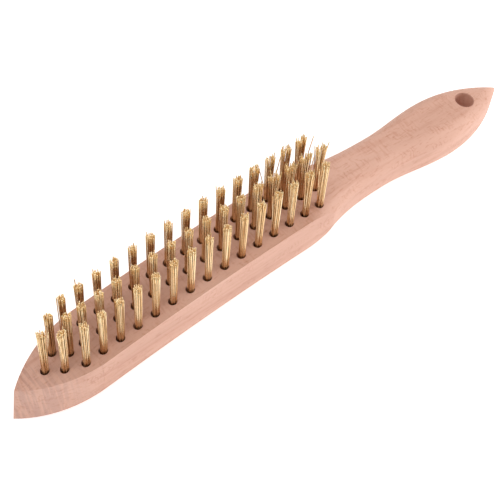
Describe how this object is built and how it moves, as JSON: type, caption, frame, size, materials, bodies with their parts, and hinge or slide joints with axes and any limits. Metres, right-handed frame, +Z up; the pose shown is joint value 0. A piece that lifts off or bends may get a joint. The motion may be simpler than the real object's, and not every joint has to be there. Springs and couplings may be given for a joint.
{
  "type": "wire brush",
  "caption": "Hand wire brush: arched wooden body with a pointed nose and waisted handle, staggered rows of brassed wire tufts and a hanging hole.",
  "frame": {"origin": "centre of the footprint, on the surface the nose and the handle's end stand on", "axes": "+X from the nose to the handle's end, +Y across the body, +Z up, the way the bristles point"},
  "size_m": [0.29, 0.03, 0.0669],
  "materials": {
    "beech": "sanded, bare",
    "brassed_wire": "drawn wire, bright",
    "anchor_steel": "bare flat wire"
  },
  "bodies": {
    "root": {"block": "beech", "tuft_front_01": "brassed_wire", "tuft_front_02": "brassed_wire", "tuft_front_03": "brassed_wire", "tuft_front_04": "brassed_wire", "tuft_front_05": "brassed_wire", "tuft_front_06": "brassed_wire", "tuft_front_07": "brassed_wire", "tuft_front_08": "brassed_wire", "tuft_front_09": "brassed_wire", "tuft_front_10": "brassed_wire", "tuft_front_11": "brassed_wire", "tuft_front_12": "brassed_wire", "tuft_front_13": "brassed_wire", "tuft_front_14": "brassed_wire", "tuft_front_15": "brassed_wire", "tuft_front_16": "brassed_wire", "tuft_middle_01": "brassed_wire", "tuft_middle_02": "brassed_wire", "tuft_middle_03": "brassed_wire", "tuft_middle_04": "brassed_wire", "tuft_middle_05": "brassed_wire", "tuft_middle_06": "brassed_wire", "tuft_middle_07": "brassed_wire", "tuft_middle_08": "brassed_wire", "tuft_middle_09": "brassed_wire", "tuft_middle_10": "brassed_wire", "tuft_middle_11": "brassed_wire", "tuft_middle_12": "brassed_wire", "tuft_middle_13": "brassed_wire", "tuft_middle_14": "brassed_wire", "tuft_middle_15": "brassed_wire", "tuft_middle_16": "brassed_wire", "tuft_middle_17": "brassed_wire", "tuft_back_01": "brassed_wire", "tuft_back_02": "brassed_wire", "tuft_back_03": "brassed_wire", "tuft_back_04": "brassed_wire", "tuft_back_05": "brassed_wire", "tuft_back_06": "brassed_wire", "tuft_back_07": "brassed_wire", "tuft_back_08": "brassed_wire", "tuft_back_09": "brassed_wire", "tuft_back_10": "brassed_wire", "tuft_back_11": "brassed_wire", "tuft_back_12": "brassed_wire", "tuft_back_13": "brassed_wire", "tuft_back_14": "brassed_wire", "tuft_back_15": "brassed_wire", "tuft_back_16": "brassed_wire", "anchors": "anchor_steel"}
  },
  "joints": []
}
